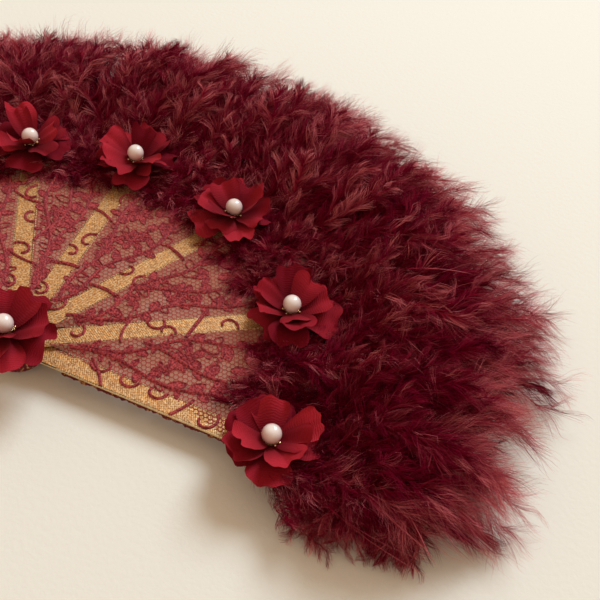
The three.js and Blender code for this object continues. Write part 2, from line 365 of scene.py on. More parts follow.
# %% Sample a solid plume
def plume_shape(index, angle_steps=25, radius_steps=36):
    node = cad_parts[f"plume_{index + 1}"]
    corners = [vertex.co for vertex in node.data.vertices]
    tree = BVHTree.FromPolygons(corners, [face.vertices for face in node.data.polygons])
    flat = turn_flat(np.array(corners), -stick_angles[index])
    spread = np.degrees(np.arctan2(flat[:, 1], flat[:, 0]))
    distance = np.hypot(flat[:, 0], flat[:, 1]) / mm
    angles = np.linspace(spread.min() + 0.15, spread.max() - 0.15, angle_steps)
    radii = np.linspace(distance.min() + 0.3, distance.max() - 0.3, radius_steps)
    top = np.full((angle_steps, radius_steps), np.nan)
    low = top.copy()
    for row, angle in enumerate(np.radians(angles + stick_angles[index])):
        for column, radius in enumerate(radii * mm):
            x, y = radius * math.cos(angle), radius * math.sin(angle)
            above = tree.ray_cast(Vector((x, y, 0.1)), Vector((0, 0, -1)))[0]
            below = tree.ray_cast(Vector((x, y, -0.05)), Vector((0, 0, 1)))[0]
            if above and below:
                top[row, column] = above.z / mm
                low[row, column] = below.z / mm
    reach = np.zeros(angle_steps)
    for row in range(angle_steps):
        found = np.flatnonzero(~np.isnan(top[row]))
        reach[row] = radii[found[-1]]
        top[row] = np.interp(radii, radii[found], top[row, found])
        low[row] = np.interp(radii, radii[found], low[row, found])
    return {"angles": angles, "radii": radii, "top": top, "low": low, "reach": reach}


def sample_shape(shape, grid, angle, radius):
    row = np.interp(angle, shape["angles"], np.arange(len(shape["angles"])))
    column = np.interp(radius, shape["radii"], np.arange(len(shape["radii"])))
    r0 = np.minimum(row.astype(int), len(shape["angles"]) - 2)
    c0 = np.minimum(column.astype(int), len(shape["radii"]) - 2)
    fr, fc = row - r0, column - c0
    near = grid[r0, c0] * (1 - fc) + grid[r0, c0 + 1] * fc
    far = grid[r0 + 1, c0] * (1 - fc) + grid[r0 + 1, c0 + 1] * fc
    return near * (1 - fr) + far * fr


plume_shapes = [plume_shape(index) for index in range(stick_count)]
print("plumes reach", [round(float(shape["reach"].max())) for shape in plume_shapes], "mm")

# %% [markdown]
# ## Laying the shafts
# A plume is laid in layers, as a milliner would tie it: long feathers below that fill it out, shorter
# ones over them whose tips show as tufts, and loose ones at the rim. A row of a layer gives how many
# feathers it has, how far out their tips are, how deep root and tip lie, the length of the barbs and
# of the shaft, the barbs per millimetre, and how far the feathers stray from their heading. The down
# of the two outermost plumes ends at a curved free edge.

# %% Choose the feathers of one layer
plume_layers = {
    "under": [
        (13, 0.85, 0.10, 0.42, 26, 105, 3.4, 2),
        (10, 0.76, 0.35, 0.66, 24, 92, 3.6, 3),
        (8, 0.62, 0.30, 0.58, 26, 72, 3.0, 3),
        (11, 0.42, 0.30, 0.62, 22, 40, 3.4, 2),
    ],
    "over": [
        (14, 0.70, 0.72, 1.00, 20, 48, 4.0, 9),
        (14, 0.57, 0.82, 1.03, 18, 40, 4.2, 11),
        (13, 0.39, 0.85, 1.03, 16, 32, 4.4, 12),
        (11, 0.21, 0.85, 1.00, 13, 24, 4.8, 14),
    ],
    "rim": [
        (18, 0.98, 0.30, 0.60, 26, 46, 2.5, 6),
        (18, 0.89, 0.60, 0.95, 24, 40, 2.7, 8),
    ],
}
feather_root = 106
shortest_reach = 132


def free_edge(radius):
    return np.degrees(np.interp(radius, [feather_root, 130, 158, 187, 205], [4, 9, 13, 6, -5]) / radius)


def lay_feathers(index, layer, dice):
    shape = plume_shapes[index]
    low_angle, high_angle = shape["angles"][0], shape["angles"][-1]
    rows = []
    for count, share, depth_root, depth_tip, barb, shaft, density, stray in plume_layers[layer]:
        for place in range(count):
            across = (place + 0.5 + dice.uniform(-0.35, 0.35)) / count
            tip_angle = low_angle + (high_angle - low_angle) * across
            turn = math.radians(stick_angles[index] + tip_angle)
            lobe = 0.045 * math.sin(turn * 15 + 1) + 0.03 * math.sin(turn * 37)
            reach = np.interp(tip_angle, shape["angles"], shape["reach"])
            tip = max(stick_reach + (reach - stick_reach) * (share + lobe + dice.uniform(-0.06, 0.05)), shortest_reach)
            lump = math.sin(turn * 21 + tip / 13) * math.sin(turn * 8 - tip / 15)
            root = max(tip - shaft * dice.uniform(0.85, 1.1), feather_root)
            centre = (tip_angle - (low_angle + high_angle) / 2) * 0.4 + (low_angle + high_angle) / 2
            back = np.clip((tip - root) / 110, 0, 1)
            root_angle = tip_angle + (centre - tip_angle) * back + dice.uniform(-stray, stray)
            if index == 0:
                root_angle, tip_angle = max(root_angle, -free_edge(root)), max(tip_angle, -free_edge(tip))
            if index == stick_count - 1:
                root_angle, tip_angle = min(root_angle, free_edge(root)), min(tip_angle, free_edge(tip))
            # The last value is the feather's tone: random, and lighter where the lump raises the tip, painted light on
            # the swells and painted shade in the hollows between.
            rows.append([
                root, tip, np.clip(root_angle, low_angle, high_angle), tip_angle,
                depth_root, depth_tip + 0.12 * lump + dice.uniform(-0.08, 0.08),
                barb * dice.uniform(0.85, 1.15), density, np.clip(0.5 + 0.45 * lump + dice.uniform(-0.4, 0.4), 0, 1),
            ])
    return np.array(rows)


def shaft_curves(index, feathers, dice, stations=13):
    shape = plume_shapes[index]
    along = np.linspace(0, 1, stations)[None]
    root, tip, root_angle, tip_angle, depth_root, depth_tip = (feathers[:, k, None] for k in range(6))
    radius = root + (tip - root) * along
    sway = dice.uniform(-2.0, 2.0, (len(feathers), 1))
    angle = root_angle + (tip_angle - root_angle) * along ** 0.8 + sway * np.sin(math.pi * 1.6 * along)
    depth = depth_root + (depth_tip - depth_root) * along
    low = sample_shape(shape, shape["low"], angle, radius)
    top = sample_shape(shape, shape["top"], angle, radius)
    height = np.maximum(low + (top - low) * depth, 0.8)
    turn = np.radians(angle + stick_angles[index])
    return np.stack([radius * np.cos(turn), radius * np.sin(turn), height], axis=-1)


# %% [markdown]
# ## Growing the barbs
# Each barb leaves its shaft at a steep angle near the root and a shallower one near the tip, bends
# forwards and curls a little. Barbs are handled in groups of neighbours. The free ends of a group are
# drawn together and curl together, which makes the tufts. A barb is a ribbon that tapers to a point.

# %% Grow the barbs of a set of shafts
clump_size = 14


def grow_barbs(curves, barb, density, tone, dice, opening=(40, 18), start=0.06, fluff=0.75, width=0.24,
               gather=0.85, curl=0.17, lengths=4, spread=0.3):
    shaft_lengths = np.linalg.norm(np.diff(curves, axis=1), axis=-1).sum(axis=1)
    counts = np.maximum((shaft_lengths * density / clump_size).astype(int), 2) * clump_size
    per_side = np.repeat(counts, 2)
    feather = np.repeat(np.arange(len(curves)), 2 * counts)
    side = np.repeat(np.tile([-1.0, 1.0], len(curves)), per_side)
    order = np.concatenate([np.arange(count) for count in per_side])
    share = (order + dice.uniform(0, 1, len(order))) / np.repeat(per_side, per_side)
    share = start + (1 - start) * share ** 0.9
    clump = np.arange(len(order)) // clump_size

    stations = curves.shape[1]
    place = share * (stations - 1)
    first = np.minimum(place.astype(int), stations - 2)
    part = (place - first)[:, None]
    foot = curves[feather, first] * (1 - part) + curves[feather, first + 1] * part
    slopes = unit(np.gradient(curves, axis=1))
    ahead = unit(slopes[feather, first] * (1 - part) + slopes[feather, first + 1] * part)
    beside = unit(np.cross(np.array([0, 0, 1.0]), ahead))
    upward = np.cross(ahead, beside)

    def by_clump(low, high):
        return dice.uniform(low, high, clump[-1] + 1)[clump]

    angle = np.radians(opening[0] + (opening[1] - opening[0]) * share ** 1.3 + by_clump(-9, 9) + dice.normal(0, 3, len(order)))
    roll = np.radians(by_clump(-60, 75) * fluff + dice.uniform(-28, 28, len(order)))
    leave = (
        np.cos(angle)[:, None] * ahead
        + np.sin(angle)[:, None] * (np.cos(roll)[:, None] * side[:, None] * beside + np.sin(roll)[:, None] * upward)
    )
    profile = np.minimum(1, 0.5 + 1.3 * share) * (1 - 0.4 * share ** 6)
    length = barb[feather] * profile * by_clump(0.75, 1.15) * dice.uniform(0.7, 1.08, len(order))
    bend = by_clump(0.0, 0.6)[:, None]
    stray = dice.normal(0, 1, (len(order), 3))
    sweep = dice.normal(0, 1, (clump[-1] + 1, 3))[clump]
    middle = foot + leave * (length * 0.5)[:, None] + (stray * 0.02 + sweep * 0.04) * length[:, None]
    onward = unit(leave * (1 - bend) + ahead * bend + stray * 0.09 + sweep * 0.16)
    end = foot + (leave * 0.45 + onward * 0.52) * length[:, None]
    end[:, 2] -= length * 0.06
    gathered = np.zeros((clump[-1] + 1, 3))
    np.add.at(gathered, clump, end)
    gathered = (gathered / clump_size)[clump]
    end += (gathered - end) * by_clump(0.1, gather)[:, None]

    along = np.linspace(0, 1, lengths + 1)[None, :, None]
    line = foot[:, None] * (1 - along) ** 2 + middle[:, None] * 2 * along * (1 - along) + end[:, None] * along ** 2
    swing = unit(np.cross(leave, sweep + 0.5 * stray))
    turns = by_clump(3.0, 6.5)[:, None, None]
    ripple = np.sin(turns * along + by_clump(0, 6.28)[:, None, None])
    line += swing[:, None] * (ripple - ripple[:, :1]) * along * (curl * length)[:, None, None]
    # Painted highlights: a few tufts are made much paler than their feather.
    painted_highlight = np.where(by_clump(0, 1) > 0.91, 0.4, 0.0)
    shade = np.clip(tone[feather] + by_clump(-spread, spread) + painted_highlight + dice.normal(0, 0.08, len(order)), 0.02, 0.98)
    return line, np.full(len(order), width), shade


def ribbons(line, width, dice):
    count, stations, _ = line.shape
    across = unit(np.cross(line[:, -1] - line[:, 0], dice.normal(0, 1, (count, 3))))
    along = np.linspace(0, 1, stations)
    half = width[:, None] / 2 * (1 - along[None] ** 1.6 * 0.85)
    left = line - across[:, None] * half[..., None]
    right = line + across[:, None] * half[..., None]
    points = np.empty((count, 2 * stations - 1, 3))
    points[:, 0:-1:2] = left[:, :-1]
    points[:, 1:-1:2] = right[:, :-1]
    points[:, -1] = line[:, -1]
    step = 2 * np.arange(stations - 2)
    quads = np.stack([step, step + 1, step + 3, step + 2], axis=1)
    last = np.array([[2 * stations - 4, 2 * stations - 3, 2 * stations - 2]])
    offset = (np.arange(count) * (2 * stations - 1))[:, None, None]
    return points, (quads[None] + offset).reshape(-1, 4), (last[None] + offset).reshape(-1, 3)


# %% [markdown]
# ## The feathers' finish
# The dyed colour runs along each barb from root to tip. The roots are painted darker, as painted shade
# where the down lies thick, and barbs with a high value turn pinkish at their tips, a painted glow and
# highlight where single barbs would catch and pass the light. Each barb has its own value, random tone
# with painted light and shade in it. Both are stored on the mesh, and the atlas uses the same two
# numbers, so a baked picture holds the same colours.

# %% Feather material
feather_material, tree, shader = new_material(
    "burgundy_marabou", Roughness=0.6, Sheen_Weight=0.03, Sheen_Roughness=0.4, Sheen_Tint=(1.0, 0.35, 0.45, 1),
    Specular_IOR_Level=0.015)
barb_tone_and_painted_light = amount_of(tree, "shade")
# Painted glow and highlight: only barbs with a high value reach the pale pink tip colour.
painted_glow_share = add_node(tree, "Math", operation="POWER")
painted_glow_share.inputs[1].default_value = 6.0
join(tree, barb_tone_and_painted_light, painted_glow_share.inputs[0])
# Painted shade: the roots, deep in the down, are darker than the tips.
deep = blend_colours(tree, barb_tone_and_painted_light, (0.022, 0.0001, 0.002, 1), (0.29, 0.0015, 0.026, 1))
painted_glow_tip = blend_colours(tree, painted_glow_share.outputs["Value"], (0.19, 0.0010, 0.022, 1), (1.0, 0.30, 0.33, 1))
join(tree, blend_colours(tree, amount_of(tree, "along"), deep, painted_glow_tip), shader.inputs["Base Color"])
print("feather finish ready")

# %% [markdown]
# ## Building the plumes
# Besides the layers of feathers, short curly down sits round each flower and reaches in over the lace,
# and the two outermost plumes have down that hangs over their free side on to the table. A few bare
# quills and one flat vane lie on top. Each kind starts within its own band of distances from the rivet.
# Each layer of a plume becomes one mesh that rides on its stick.

# %% Short down round a flower, down at a free side, and bare quills
collar_band = (124, 136)
lace_band = (100, 128)
side_band = (134, 182)
quill_band = (134, 165)
plume_crown = 38
near_side = -24


def short_curves(angle, radius, heading, length, heights, index, bend=0.0, stations=8):
    turn = np.radians(stick_angles[index] + angle)
    along = np.linspace(0, 1, stations)[None]
    ahead = np.radians(stick_angles[index] + angle + heading)[:, None] + bend * along
    step = (length / (stations - 1))[:, None]
    x = (radius * np.cos(turn))[:, None] + np.cumsum(np.cos(ahead) * step, axis=1)
    y = (radius * np.sin(turn))[:, None] + np.cumsum(np.sin(ahead) * step, axis=1)
    first, last, power = heights
    z = first[:, None] + (last - first)[:, None] * along ** power
    return np.stack([x, y, z], axis=-1)


def collar_curves(index, dice, count=34):
    shape = plume_shapes[index]
    angle = dice.uniform(shape["angles"][0], shape["angles"][-1], count)
    radius = dice.uniform(*collar_band, count)
    top = sample_shape(shape, shape["top"], angle, radius)
    heading, length = dice.uniform(-65, 65, count), dice.uniform(6, 13, count)
    return short_curves(angle, radius, heading, length, (top - 1, top + dice.uniform(-1, 4, count), 1), index)


def between_curves(index, dice, count=74):
    shape = plume_shapes[index]
    ends = [end for end, missing in ((0, index == 0), (-1, index == stick_count - 1)) if not missing]
    angle = np.concatenate([shape["angles"][end] * dice.uniform(0.4, 1, count) for end in ends])
    radius = dice.uniform(*lace_band, len(angle))
    inward = dice.uniform(0, 1, len(angle)) < 0.45
    heading = np.where(inward, 180 + dice.uniform(-80, 80, len(angle)), dice.uniform(-60, 60, len(angle)))
    low = sample_shape(shape, shape["low"], angle, radius)
    top = sample_shape(shape, shape["top"], angle, radius)
    first = low + (top - low) * dice.uniform(0.1, 1.0, len(angle))
    length = dice.uniform(5, 11, len(angle))
    return short_curves(angle, radius, heading, length, (first, first + dice.uniform(-2, 2, len(angle)), 1), index)


def side_curves(index, dice, locks=26, count=5):
    shape = plume_shapes[index]
    free = -1 if index == 0 else 1
    lock = np.repeat(np.arange(locks), count)
    radius = dice.uniform(*side_band, locks)[lock] + dice.normal(0, 2, len(lock))
    angle = free * free_edge(radius) - free * dice.uniform(-1, 3, locks)[lock]
    top = sample_shape(shape, shape["top"], angle, radius)
    low = sample_shape(shape, shape["low"], angle, radius)
    first = low + (top - low) * dice.uniform(0.1, 0.8, len(lock))
    heading = free * (dice.uniform(25, 120, locks)[lock] + dice.normal(0, 8, len(lock)))
    length = dice.uniform(10, 24, locks)[lock] * dice.uniform(0.7, 1.1, len(lock)) * np.interp(radius, side_band, [1.1, 0.55])
    bend = dice.uniform(-1.4, 1.4, locks)[lock][:, None]
    return short_curves(angle, radius, heading, length, (first, dice.uniform(1, 7, len(lock)), 1.3), index, bend)


def quill_curves(index, dice, count=6):
    shape = plume_shapes[index]
    angle = dice.uniform(shape["angles"][0], shape["angles"][-1], count) * 0.7
    radius = dice.uniform(*quill_band, count)
    length = dice.uniform(25, 48, count)
    first = sample_shape(shape, shape["top"], angle, radius) + 0.5
    last = sample_shape(shape, shape["top"], angle, radius + length) + 3
    heading, bend = dice.uniform(-30, 30, count), dice.uniform(-0.5, 0.5, (count, 1))
    return short_curves(angle, radius, heading, length, (first, last, 0.8), index, bend)


def keep_in_place(line):
    for index, angle in enumerate(stick_angles):
        turn = math.radians(angle)
        distance = np.hypot(line[..., 0] - flower_ring * math.cos(turn), line[..., 1] - flower_ring * math.sin(turn))
        roof = flower_seat(index) + 0.1 + 4 * (distance / flower_radius) ** 2
        roof += np.maximum(distance - flower_radius + 3, 0) * 4
        line[..., 2] = np.minimum(line[..., 2], roof)
    line[..., 2] = np.where(line[..., 2] > plume_crown, plume_crown + (line[..., 2] - plume_crown) * 0.45, line[..., 2])
    line[..., 1] -= 0.35 * np.minimum(line[..., 1] - near_side, 0)
    over_lace = np.hypot(line[..., 0], line[..., 1]) < lace_outer
    floor = np.where(over_lace, leaf_level(line[..., 0], line[..., 1], 0.3), 0.4)
    line[..., 2] = np.maximum(line[..., 2], floor)
    return line


# %% Gather one layer of a plume
layer_growth = {
    "under": {"width": 0.3, "lengths": 3},
    "over": {"opening": (50, 28), "curl": 0.2},
    "rim": {"opening": (50, 28), "width": 0.12, "gather": 0.35, "curl": 0.15, "spread": 0.14},
}


def gather_loose(index, dice):
    collar = np.concatenate([collar_curves(index, dice), between_curves(index, dice)])
    strands = [grow_barbs(collar, dice.uniform(7, 13, len(collar)), 4.0, dice.uniform(0.1, 0.85, len(collar)), dice,
                          opening=(75, 35), start=0.0, fluff=1.0, width=0.22, gather=0.5, curl=0.16)]
    if index in (0, stick_count - 1):
        side = side_curves(index, dice)
        # The down at a free side gets a lighter tone: painted glow where thin wisps lie against the light.
        strands.append(grow_barbs(side, dice.uniform(6, 12, len(side)), 1.8, dice.uniform(0.5, 0.95, len(side)), dice,
                                  opening=(44, 20), fluff=0.9, width=0.15, gather=0.8, curl=0.26, spread=0.2))
    quills = quill_curves(index, dice)
    if index == 0:
        angle, radius, heading, length, low, high = np.array([[10.5], [152], [26], [30], [30.5], [31.5]])
        vane = short_curves(angle, radius, heading, length, (low, high, 1), index)
        strands.append(grow_barbs(vane, np.array([7.0]), 8.0, np.array([0.75]), dice,
                                  opening=(42, 26), fluff=0.08, width=0.4, gather=0.1, curl=0.02))
        quills = np.concatenate([quills, vane])
    return strands, quills, np.full(len(quills), 0.9)


def gather_layer(layer, index, dice):
    if layer == "loose":
        return gather_loose(index, dice)
    feathers = lay_feathers(index, layer, dice)
    curves = shaft_curves(index, feathers, dice)
    # Random tone, plus painted shade for feathers lying deeper in the bundle, plus painted light and shade by plume:
    # the first plume darker, the third onwards lighter, for where each lies towards the window.
    tone = 0.5 * feathers[:, 8] + 0.2 * feathers[:, 5] ** 2 + np.interp(index, [0, 2], [-0.12, 0.1])
    # Painted glow: rim feathers get a high value, standing for light passing through the thin loose down at the edge.
    if layer == "rim":
        tone = 0.82 + 0.16 * feathers[:, 8]
    return [grow_barbs(curves, feathers[:, 6], feathers[:, 7], tone, dice, **layer_growth[layer])], curves, tone


# %% Build the plumes
def build_layer(layer, index):
    dice = np.random.default_rng(40 + 10 * index + len(layer))
    strands, shafts, shaft_tone = gather_layer(layer, index, dice)
    strands.append((shafts.copy(), np.full(len(shafts), 0.5), shaft_tone))
    points, quads, tips, along, shade, first = [], [], [], [], [], 0
    for line, width, tone in strands:
        strip, strip_quads, strip_tips = ribbons(keep_in_place(line), width, dice)
        points.append(strip.reshape(-1, 3))
        quads.append(strip_quads + first)
        tips.append(strip_tips + first)
        along.append(np.tile(np.repeat(np.linspace(0, 1, line.shape[1]), 2)[:-1], len(line)))
        shade.append(np.repeat(tone, strip.shape[1]))
        first += strip.shape[0] * strip.shape[1]
    along, shade = np.concatenate(along), np.clip(np.concatenate(shade), 0.01, 0.99)
    atlas = np.stack([shade, np.clip(along, 0.01, 0.99)], axis=1)
    down = new_piece(f"marabou_{layer}_{index + 1}", np.concatenate(points), [np.concatenate(quads), np.concatenate(tips)],
                     feather_material, atlas, {"along": along, "shade": shade})
    fix_piece(down, f"rib_{index + 1}", f"plume_{index + 1}")
    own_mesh(down)
    return sum(len(strand[0]) for strand in strands), 2 * len(down.data.polygons)


for layer in ("under", "over", "rim", "loose"):
    barbs, faces = zip(*[build_layer(layer, index) for index in range(stick_count)])
    print(layer, "layer:", sum(barbs), "barbs, at most", max(faces), "triangles a plume")

# %% [markdown]
# ## Gilt sticks
# The sticks are flat wooden bars under a gold lame strip, a cloth of flat metal threads. Real bars have
# no razor edges, so the solid's own mesh is copied and its sharp edges are rounded a little. How far
# each point is along and across its stick is stored on the mesh, so the threads can follow the bar. A
# brick pattern turned across the bar gives the short stitches. Paler spots are painted into the colour
# as painted glints where threads would catch the light, and the colour turns paler gold towards the
# edges as a painted highlight. The strip's braided edge stands a little proud, so it is a row of small
# separate stitches.

# %% Gilt finish
gilt, tree, shader = new_material("gold_lame", Metallic=0.4)
across_stick = amount_of(tree, "across")
place = flat_place(tree, amount_of(tree, "along"), across_stick)
slant = add_node(tree, "Mapping", Rotation=(0, 0, math.radians(64)))
join(tree, place, slant.inputs["Vector"])
stitches = add_node(tree, "TexBrick", Scale=1.0,
                    Color1=(0.94, 0.50, 0.16, 1), Color2=(0.60, 0.26, 0.07, 1), Mortar=(0.25, 0.09, 0.026, 1))
for label, value in (("Brick Width", 2.2), ("Row Height", 0.85), ("Mortar Size", 0.15), ("Mortar Smooth", 0.6)):
    stitches.inputs[label].default_value = value
join(tree, slant.outputs["Vector"], stitches.inputs["Vector"])
glints = grain(tree, 1.1, 4, 0.7, place)
# Painted highlight: pale gold spots where threads would catch the light, also smoother there.
painted_highlight = remap(tree, glints, 0.50, 0.66)
worn = remap(tree, grain(tree, 0.45, 3, place=place), 0.44, 0.66, 0, 0.6)
woven = blend_colours(tree, worn, stitches.outputs["Color"], (0.28, 0.10, 0.025, 1))
sheeny = blend_colours(tree, painted_highlight, woven, (1.0, 0.86, 0.55, 1))
off_middle = add_node(tree, "Math", operation="ABSOLUTE")
join(tree, across_stick, off_middle.inputs[0])
# Painted highlight: the colour turns paler gold towards the edges and on the side faces of the bar.
edge_painted_highlight = remap(tree, off_middle.outputs["Value"], 3.8, 4.4, 0, 0.7)
join(tree, blend_colours(tree, edge_painted_highlight, sheeny, (1.0, 0.80, 0.44, 1)), shader.inputs["Base Color"])
join(tree, remap(tree, painted_highlight, 0, 1, 0.42, 0.2), shader.inputs["Roughness"])
relief = add_node(tree, "Math", operation="SUBTRACT")
join(tree, glints, relief.inputs[0])
join(tree, stitches.outputs["Fac"], relief.inputs[1])
add_bump(tree, shader, relief.outputs["Value"], 0.6, 0.00016)


# %% Build the sticks
def along_and_across(mesh, index):
    flat = turn_flat(np.array([vertex.co for vertex in mesh.vertices]) / mm, -stick_angles[index])
    for label, amounts in (("along", flat[:, 0]), ("across", flat[:, 1])):
        mesh.attributes.new(label, "FLOAT", "POINT").data.foreach_set("value", amounts.astype(np.float32))


def build_stick(index, edge_radius=0.32):
    shape = bmesh.new()
    shape.from_mesh(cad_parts[f"stick_{index + 1}"].data)
    bmesh.ops.remove_doubles(shape, verts=shape.verts, dist=1e-6)
    sharp = [edge for edge in shape.edges if len(edge.link_faces) == 2 and edge.calc_face_angle() > math.radians(40)]
    bmesh.ops.bevel(shape, geom=sharp, offset=edge_radius * mm, segments=3, profile=0.6, affect="EDGES")
    mesh = bpy.data.meshes.new(f"gilt_stick_{index + 1}")
    shape.to_mesh(mesh)
    shape.free()
    along_and_across(mesh, index)
    mesh.materials.append(gilt)
    stick = bpy.data.objects.new(mesh.name, mesh)
    bpy.context.scene.collection.objects.link(stick)
    fix_piece(stick, f"rib_{index + 1}", f"stick_{index + 1}")
    return stick


def build_braid(index, start=22, end=100, spacing=1.25, off_middle=4.4):
    dice = np.random.default_rng(70 + index)
    spots = np.arange(start, end, spacing)
    count = 2 * len(spots)
    half_sizes = np.stack([dice.uniform(*limits, count) for limits in ((0.6, 0.85), (0.22, 0.34), (0.2, 0.36))], axis=1)
    corner = np.array([[1, 0, 0], [0, 1, 0], [-1, 0, 0], [0, -1, 0], [0, 0, 1], [0, 0, -1]], float)
    stitch = corner[None] * half_sizes[:, None]
    turn = dice.uniform(-0.5, 0.9, count)[:, None]
    x = stitch[..., 0] * np.cos(turn) - stitch[..., 1] * np.sin(turn) + np.tile(spots, 2)[:, None]
    rows = np.repeat([-off_middle, off_middle], len(spots))
    y = stitch[..., 0] * np.sin(turn) + stitch[..., 1] * np.cos(turn) + rows[:, None]
    points = np.stack([x, y, stitch[..., 2] + stick_low(index) + stick_thickness], axis=-1).reshape(-1, 3)
    faces = np.array([[0, 1, 4], [1, 2, 4], [2, 3, 4], [3, 0, 4], [1, 0, 5], [2, 1, 5], [3, 2, 5], [0, 3, 5]])
    faces = (faces[None] + 6 * np.arange(count)[:, None, None]).reshape(-1, 3)
    braid = new_piece(f"gilt_braid_{index + 1}", turn_flat(points, stick_angles[index]), [faces], gilt, None,
                      {"along": points[:, 0], "across": points[:, 1]})
    fix_piece(braid, f"rib_{index + 1}")
    return braid


sticks = [build_stick(index) for index in range(stick_count)]
braids = [build_braid(index) for index in range(stick_count)]
print(len(sticks), "sticks of", len(sticks[0].data.polygons), "faces, each with", len(braids[0].data.polygons) // 8, "stitches")

# %% [markdown]
# ## Lace leaf: the ground net
# The leaf is corded lace: a hexagonal net with flowers and leaves worked over it. A pattern of holes
# could be painted, but real threads catch the light and throw their own shadows, so each side of each
# cell is a thin flat ribbon. The net is cut away over the sticks.

# %% Cells of the net
cell = 2.1
thread = 0.42
side = cell / math.sqrt(3)
dice = np.random.default_rng(7)
column, row = np.meshgrid(np.arange(-130, 131), np.arange(-6, 72))
x = (column * cell + row * cell / 2).ravel()
y = (row * side * 1.5).ravel()
crown = np.stack([x, y + side], axis=1)
feet = [np.stack([x + step * cell / 2, y + abs(step) * side * 1.5], axis=1) for step in (0, 1, -1)]
sides = np.concatenate([np.stack([crown, foot], axis=1) for foot in feet])


def panel_of(x, y):
    return np.clip(np.searchsorted(stick_angles, fan_angle(x, y)) - 1, 0, stick_count - 2)


def drift(points):
    x, y = points[..., 0], points[..., 1]
    moved = points.copy()
    moved[..., 0] += 0.45 * np.sin(x * 0.09 + y * 0.06) + 0.12 * np.sin(y * 0.8)
    moved[..., 1] += 0.45 * np.cos(y * 0.11 - x * 0.05) + 0.12 * np.sin(x * 0.9)
    return moved


def off_stick(points, angle):
    turn = math.radians(angle)
    return points[..., 1] * math.cos(turn) - points[..., 0] * math.sin(turn)


sides = drift(sides)
middle = sides.mean(axis=1)
radius = np.hypot(middle[:, 0], middle[:, 1])
guard_cover = np.interp(radius, [20, 75, 100], [-3.5, -3.5, 4.3])
first_side = off_stick(middle, stick_angles[0]) > -guard_cover + dice.uniform(-0.2, 0.2, len(middle))
last_side = off_stick(middle, stick_angles[-1]) < 4.3
off_gilt = np.min([np.abs(off_stick(middle, angle)) for angle in stick_angles[1:-1]], axis=0) > 4.2
sides = sides[(radius > lace_inner) & (radius < lace_outer) & (middle[:, 1] > -6) & first_side & last_side & off_gilt]
print(len(sides), "sides of net cells")

# %% [markdown]
# ## Lace leaf: flowers, leaves and cords
# The worked parts are made of two kinds of stitch. A filled patch is a low cushion of satin stitch, and
# a cord is a raised thread laid along an outline. Both are drawn flat on the leaf, and take their
# height from it afterwards. The motifs are the plain roses, sprigs and berries of traditional lace, and
# a few cords and curls run on over the gilt.

# %% Patches and cords
patch_points = 16
cord_points = 18
patches = []
cords = []


def at(panel, radius, share):
    turn = math.radians(stick_angles[panel] + (stick_angles[panel + 1] - stick_angles[panel]) * share)
    return np.array([radius * math.cos(turn), radius * math.sin(turn)])


def ray(degrees, length=1.0):
    return np.array([math.cos(math.radians(degrees)), math.sin(math.radians(degrees))]) * length


def add_patch(centre, outline):
    patches.append(np.concatenate([[centre], outline]))


def add_cord(line, width):
    steps = np.linspace(0, len(line) - 1, cord_points)
    cords.append((np.stack([np.interp(steps, np.arange(len(line)), line[:, axis]) for axis in (0, 1)], axis=1), width))


def add_disc(centre, size):
    turn = np.linspace(0, 2 * math.pi, patch_points, endpoint=False)
    wobble = 1 + 0.12 * np.sin(3 * turn + dice.uniform(0, 6))
    add_patch(centre, centre + np.stack([np.cos(turn), np.sin(turn)], axis=1) * (size * wobble)[:, None])


def add_leaf(foot, degrees, length, width, filled=True):
    turn = np.linspace(-math.pi, math.pi, patch_points, endpoint=False)
    along = length * (0.5 + 0.5 * np.cos(turn))
    across = width / 2 * np.sin(turn) * (1 - 0.3 * np.cos(turn)) * (1 + 0.15 * np.sin(5 * turn))
    ahead, beside = ray(degrees), ray(degrees + 90)
    edge = foot + along[:, None] * ahead + across[:, None] * beside
    if filled:
        add_patch(foot + ahead * length * 0.5, edge)
    add_cord(np.concatenate([edge, edge[:1]]), 0.55 if filled else 0.85)


def add_rose(centre, size, petals, turn):
    for petal in range(petals):
        heading = turn + 360 * petal / petals
        sweep = np.linspace(-1, 1, 15)
        loop_radius = size * (1 - np.abs(sweep) ** 3) * (1 + 0.05 * np.cos(sweep * 9))
        loop_angle = np.radians(heading + sweep * 150 / petals)
        loop = centre + np.stack([np.cos(loop_angle), np.sin(loop_angle)], axis=1) * np.maximum(loop_radius, size * 0.2)[:, None]
        add_cord(loop, 0.55)
        add_cord(centre + (loop - centre) * 0.86, 0.32)
        rim = np.linspace(-0.62, 0.62, patch_points // 2)
        rim_radius = size * (1 - np.abs(rim) ** 3) * (1 + 0.05 * np.cos(rim * 9))
        rim_angle = np.radians(heading + rim * 150 / petals)
        arc = np.stack([np.cos(rim_angle), np.sin(rim_angle)], axis=1) * rim_radius[:, None]
        add_patch(centre + ray(heading, size * 0.86), centre + np.concatenate([arc, 0.45 * arc[::-1]]))
        add_leaf(centre + ray(heading, size * 0.14), heading, size * 0.42, size * 0.22)
    add_disc(centre, size * 0.16)


def add_branch(stem, leaf, spacing, short_hand=0):
    for first in range(0, len(stem) - 1, 12):
        add_cord(stem[first:first + 13], 1.7)
    slopes = np.degrees(np.arctan2(*np.gradient(stem, axis=0).T[::-1]))
    steps = np.concatenate([[0], np.cumsum(np.hypot(*np.diff(stem, axis=0).T))])
    hand = 1
    for place in np.arange(spacing, steps[-1], spacing):
        foot = np.array([np.interp(place, steps, stem[:, axis]) for axis in (0, 1)])
        slope = np.interp(place, steps, slopes)
        hand = -hand
        size = leaf * dice.uniform(0.7, 1.2) * (0.65 + 0.5 * place / steps[-1]) * (0.7 if hand == short_hand else 1)
        filled = dice.uniform(0, 1) < 0.75
        add_leaf(foot, slope + hand * dice.uniform(25, 80), size, size * dice.uniform(0.45, 0.75), filled)


